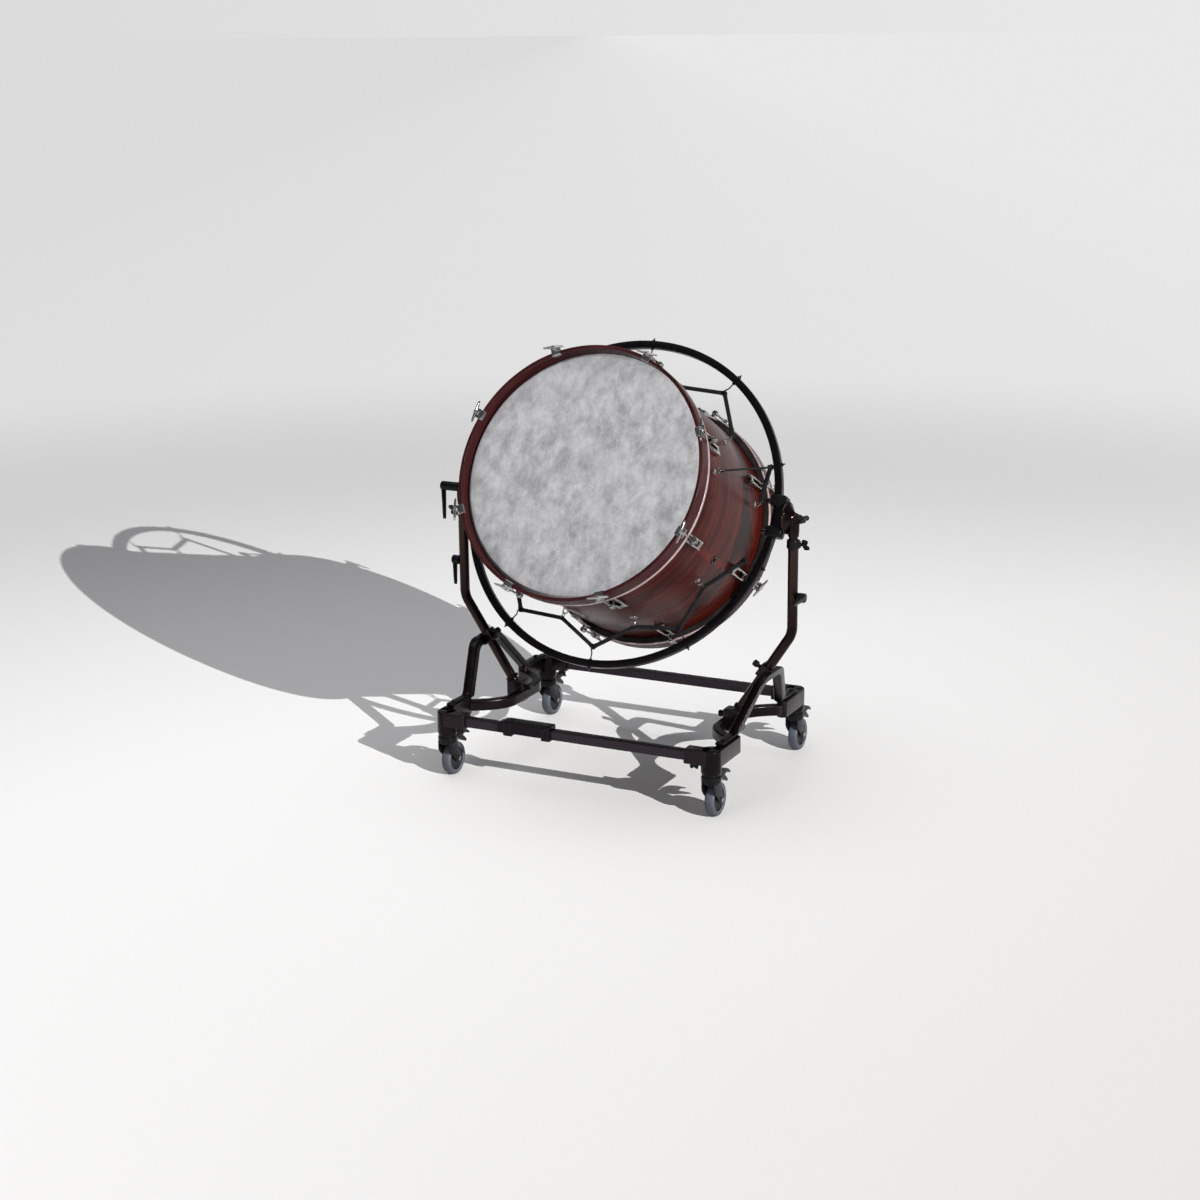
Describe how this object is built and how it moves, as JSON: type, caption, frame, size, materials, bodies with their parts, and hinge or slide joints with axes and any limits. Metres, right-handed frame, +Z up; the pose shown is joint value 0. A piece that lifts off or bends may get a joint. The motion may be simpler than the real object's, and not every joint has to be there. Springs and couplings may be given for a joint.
{
  "type": "concert bass drum on a tilting stand",
  "caption": "Large wooden orchestral bass drum hung by straps in a tilting ring, on a height-adjustable wheeled stand.",
  "frame": {"origin": "on the floor, under the middle of the overall box", "axes": "+Z up; X along the tilt axis, +X at the T-knob's side; -Y is the player's side, where the front head faces"},
  "size_m": [1.2083, 0.9297, 1.2993],
  "materials": {
    "mahogany": "satin lacquer over mahogany veneer",
    "hoop_wood": "satin lacquer",
    "mottled_skin": "mottled calf-like film",
    "chrome": "polished",
    "frame_paint": "gloss black-brown powder coat",
    "casting_paint": "gloss black-brown powder coat over cast aluminium",
    "post_paint": "gloss dark bronze powder coat",
    "black_metal": "satin black",
    "black_rubber": "matte",
    "tyre_rubber": "matte blue-grey"
  },
  "bodies": {
    "base": {"front_rail": "frame_paint", "back_rail": "frame_paint", "rail_cover": "frame_paint", "side_frame_left": "casting_paint", "side_frame_right": "casting_paint", "arch_left": "casting_paint", "arch_right": "casting_paint", "lower_post_left": "post_paint", "lower_post_right": "post_paint"},
    "uprights": {"upper_post_left": "post_paint", "upper_post_right": "post_paint", "pivot_housing_left": "casting_paint", "pivot_housing_right": "casting_paint", "memory_collar_left": "black_metal", "memory_collar_right": "black_metal"},
    "drum": {"shell": "mahogany", "air_vent": "black_metal", "front_counterhoop": "hoop_wood", "rear_counterhoop": "hoop_wood", "front_head": "mottled_skin", "rear_head": "mottled_skin", "upper_straps": "black_rubber", "lower_straps": "black_rubber", "side_strap_left": "black_rubber", "side_strap_right": "black_rubber", "tilt_ring": "frame_paint", "trunnion_block_left": "black_metal", "trunnion_block_right": "black_metal"},
    "tilt_lever": {"tilt_lever": "black_metal"},
    "tilt_knob": {"tilt_knob": "black_metal"},
    "height_lever_left": {"height_lever_left": "black_metal"},
    "height_lever_right": {"height_lever_right": "black_metal"},
    "caster_front_left": {"caster_fork_front_left": "black_metal"},
    "wheel_front_left": {"caster_wheel_front_left": "tyre_rubber"},
    "pedal_front_left": {"brake_pedal_front_left": "black_metal"},
    "caster_front_right": {"caster_fork_front_right": "black_metal"},
    "wheel_front_right": {"caster_wheel_front_right": "tyre_rubber"},
    "pedal_front_right": {"brake_pedal_front_right": "black_metal"},
    "caster_rear_left": {"caster_fork_rear_left": "black_metal"},
    "wheel_rear_left": {"caster_wheel_rear_left": "tyre_rubber"},
    "pedal_rear_left": {"brake_pedal_rear_left": "black_metal"},
    "caster_rear_right": {"caster_fork_rear_right": "black_metal"},
    "wheel_rear_right": {"caster_wheel_rear_right": "tyre_rubber"},
    "pedal_rear_right": {"brake_pedal_rear_right": "black_metal"},
    "front_tension_rod_1": {"front_tension_rod_1": "chrome"},
    "front_tension_rod_2": {"front_tension_rod_2": "chrome"},
    "front_tension_rod_3": {"front_tension_rod_3": "chrome"},
    "front_tension_rod_4": {"front_tension_rod_4": "chrome"},
    "front_tension_rod_5": {"front_tension_rod_5": "chrome"},
    "front_tension_rod_6": {"front_tension_rod_6": "chrome"},
    "front_tension_rod_7": {"front_tension_rod_7": "chrome"},
    "front_tension_rod_8": {"front_tension_rod_8": "chrome"},
    "rear_tension_rod_1": {"rear_tension_rod_1": "chrome"},
    "rear_tension_rod_2": {"rear_tension_rod_2": "chrome"},
    "rear_tension_rod_3": {"rear_tension_rod_3": "chrome"},
    "rear_tension_rod_4": {"rear_tension_rod_4": "chrome"},
    "rear_tension_rod_5": {"rear_tension_rod_5": "chrome"},
    "rear_tension_rod_6": {"rear_tension_rod_6": "chrome"},
    "rear_tension_rod_7": {"rear_tension_rod_7": "chrome"},
    "rear_tension_rod_8": {"rear_tension_rod_8": "chrome"}
  },
  "joints": [
    {"name": "height_slide", "type": "slide", "parent": "base", "child": "uprights", "axis": [0, 0, 1], "range_m": [0, 0.18]},
    {"name": "drum_tilt", "type": "hinge", "parent": "uprights", "child": "drum", "pos_m": [0.0127, 0.0089, 0.817], "axis": [1, 0, 0], "range_deg": [-62.9, 117.1]},
    {"name": "tilt_lever_turn", "type": "hinge", "parent": "uprights", "child": "tilt_lever", "pos_m": [-0.5673, 0.0089, 0.817], "axis": [1, 0, 0], "range_deg": [-90, 90]},
    {"name": "tilt_knob_turn", "type": "hinge", "parent": "uprights", "child": "tilt_knob", "pos_m": [0.5827, 0.0089, 0.817], "axis": [1, 0, 0], "continuous": true},
    {"name": "height_lever_left_turn", "type": "hinge", "parent": "base", "child": "height_lever_left", "pos_m": [-0.5573, 0.0089, 0.586], "axis": [1, 0, 0], "range_deg": [-90, 90]},
    {"name": "height_lever_right_turn", "type": "hinge", "parent": "base", "child": "height_lever_right", "pos_m": [0.5827, 0.0089, 0.586], "axis": [1, 0, 0], "range_deg": [-90, 90]},
    {"name": "caster_front_left_swivel", "type": "hinge", "parent": "base", "child": "caster_front_left", "pos_m": [-0.4178, -0.3131, 0.14], "axis": [0, 0, 1], "continuous": true},
    {"name": "wheel_front_left_spin", "type": "hinge", "parent": "caster_front_left", "child": "wheel_front_left", "pos_m": [-0.4178, -0.2831, 0.05], "axis": [1, 0, 0], "continuous": true},
    {"name": "pedal_front_left_press", "type": "hinge", "parent": "caster_front_left", "child": "pedal_front_left", "pos_m": [-0.4178, -0.2761, 0.122], "axis": [1, 0, 0], "range_deg": [-12, 0]},
    {"name": "caster_front_right_swivel", "type": "hinge", "parent": "base", "child": "caster_front_right", "pos_m": [0.4432, -0.3131, 0.14], "axis": [0, 0, 1], "continuous": true},
    {"name": "wheel_front_right_spin", "type": "hinge", "parent": "caster_front_right", "child": "wheel_front_right", "pos_m": [0.4432, -0.2831, 0.05], "axis": [1, 0, 0], "continuous": true},
    {"name": "pedal_front_right_press", "type": "hinge", "parent": "caster_front_right", "child": "pedal_front_right", "pos_m": [0.4432, -0.2761, 0.122], "axis": [1, 0, 0], "range_deg": [-12, 0]},
    {"name": "caster_rear_left_swivel", "type": "hinge", "parent": "base", "child": "caster_rear_left", "pos_m": [-0.4178, 0.3309, 0.14], "axis": [0, 0, 1], "continuous": true},
    {"name": "wheel_rear_left_spin", "type": "hinge", "parent": "caster_rear_left", "child": "wheel_rear_left", "pos_m": [-0.4178, 0.3609, 0.05], "axis": [1, 0, 0], "continuous": true},
    {"name": "pedal_rear_left_press", "type": "hinge", "parent": "caster_rear_left", "child": "pedal_rear_left", "pos_m": [-0.4178, 0.3679, 0.122], "axis": [1, 0, 0], "range_deg": [-12, 0]},
    {"name": "caster_rear_right_swivel", "type": "hinge", "parent": "base", "child": "caster_rear_right", "pos_m": [0.4432, 0.3309, 0.14], "axis": [0, 0, 1], "continuous": true},
    {"name": "wheel_rear_right_spin", "type": "hinge", "parent": "caster_rear_right", "child": "wheel_rear_right", "pos_m": [0.4432, 0.3609, 0.05], "axis": [1, 0, 0], "continuous": true},
    {"name": "pedal_rear_right_press", "type": "hinge", "parent": "caster_rear_right", "child": "pedal_rear_right", "pos_m": [0.4432, 0.3679, 0.122], "axis": [1, 0, 0], "range_deg": [-12, 0]},
    {"name": "front_tension_rod_1_turn", "type": "hinge", "parent": "drum", "child": "front_tension_rod_1", "pos_m": [0.16061, -0.05989, 1.25332], "axis": [0, -0.8902, 0.4555], "continuous": true},
    {"name": "front_tension_rod_2_turn", "type": "hinge", "parent": "drum", "child": "front_tension_rod_2", "pos_m": [0.36978, -0.15517, 1.06711], "axis": [0, -0.8902, 0.4555], "continuous": true},
    {"name": "front_tension_rod_3_turn", "type": "hinge", "parent": "drum", "child": "front_tension_rod_3", "pos_m": [0.36978, -0.28993, 0.80377], "axis": [0, -0.8902, 0.4555], "continuous": true},
    {"name": "front_tension_rod_4_turn", "type": "hinge", "parent": "drum", "child": "front_tension_rod_4", "pos_m": [0.16061, -0.38522, 0.61756], "axis": [0, -0.8902, 0.4555], "continuous": true},
    {"name": "front_tension_rod_5_turn", "type": "hinge", "parent": "drum", "child": "front_tension_rod_5", "pos_m": [-0.13521, -0.38522, 0.61756], "axis": [0, -0.8902, 0.4555], "continuous": true},
    {"name": "front_tension_rod_6_turn", "type": "hinge", "parent": "drum", "child": "front_tension_rod_6", "pos_m": [-0.34438, -0.28993, 0.80377], "axis": [0, -0.8902, 0.4555], "continuous": true},
    {"name": "front_tension_rod_7_turn", "type": "hinge", "parent": "drum", "child": "front_tension_rod_7", "pos_m": [-0.34438, -0.15517, 1.06711], "axis": [0, -0.8902, 0.4555], "continuous": true},
    {"name": "front_tension_rod_8_turn", "type": "hinge", "parent": "drum", "child": "front_tension_rod_8", "pos_m": [-0.13521, -0.05989, 1.25332], "axis": [0, -0.8902, 0.4555], "continuous": true},
    {"name": "rear_tension_rod_1_turn", "type": "hinge", "parent": "drum", "child": "rear_tension_rod_1", "pos_m": [0.16061, 0.38522, 1.02555], "axis": [0, 0.8902, -0.4555], "continuous": true},
    {"name": "rear_tension_rod_2_turn", "type": "hinge", "parent": "drum", "child": "rear_tension_rod_2", "pos_m": [0.36978, 0.28993, 0.83934], "axis": [0, 0.8902, -0.4555], "continuous": true},
    {"name": "rear_tension_rod_3_turn", "type": "hinge", "parent": "drum", "child": "rear_tension_rod_3", "pos_m": [0.36978, 0.15517, 0.576], "axis": [0, 0.8902, -0.4555], "continuous": true},
    {"name": "rear_tension_rod_4_turn", "type": "hinge", "parent": "drum", "child": "rear_tension_rod_4", "pos_m": [0.16061, 0.05989, 0.38979], "axis": [0, 0.8902, -0.4555], "continuous": true},
    {"name": "rear_tension_rod_5_turn", "type": "hinge", "parent": "drum", "child": "rear_tension_rod_5", "pos_m": [-0.13521, 0.05989, 0.38979], "axis": [0, 0.8902, -0.4555], "continuous": true},
    {"name": "rear_tension_rod_6_turn", "type": "hinge", "parent": "drum", "child": "rear_tension_rod_6", "pos_m": [-0.34438, 0.15517, 0.576], "axis": [0, 0.8902, -0.4555], "continuous": true},
    {"name": "rear_tension_rod_7_turn", "type": "hinge", "parent": "drum", "child": "rear_tension_rod_7", "pos_m": [-0.34438, 0.28993, 0.83934], "axis": [0, 0.8902, -0.4555], "continuous": true},
    {"name": "rear_tension_rod_8_turn", "type": "hinge", "parent": "drum", "child": "rear_tension_rod_8", "pos_m": [-0.13521, 0.38522, 1.02555], "axis": [0, 0.8902, -0.4555], "continuous": true}
  ]
}
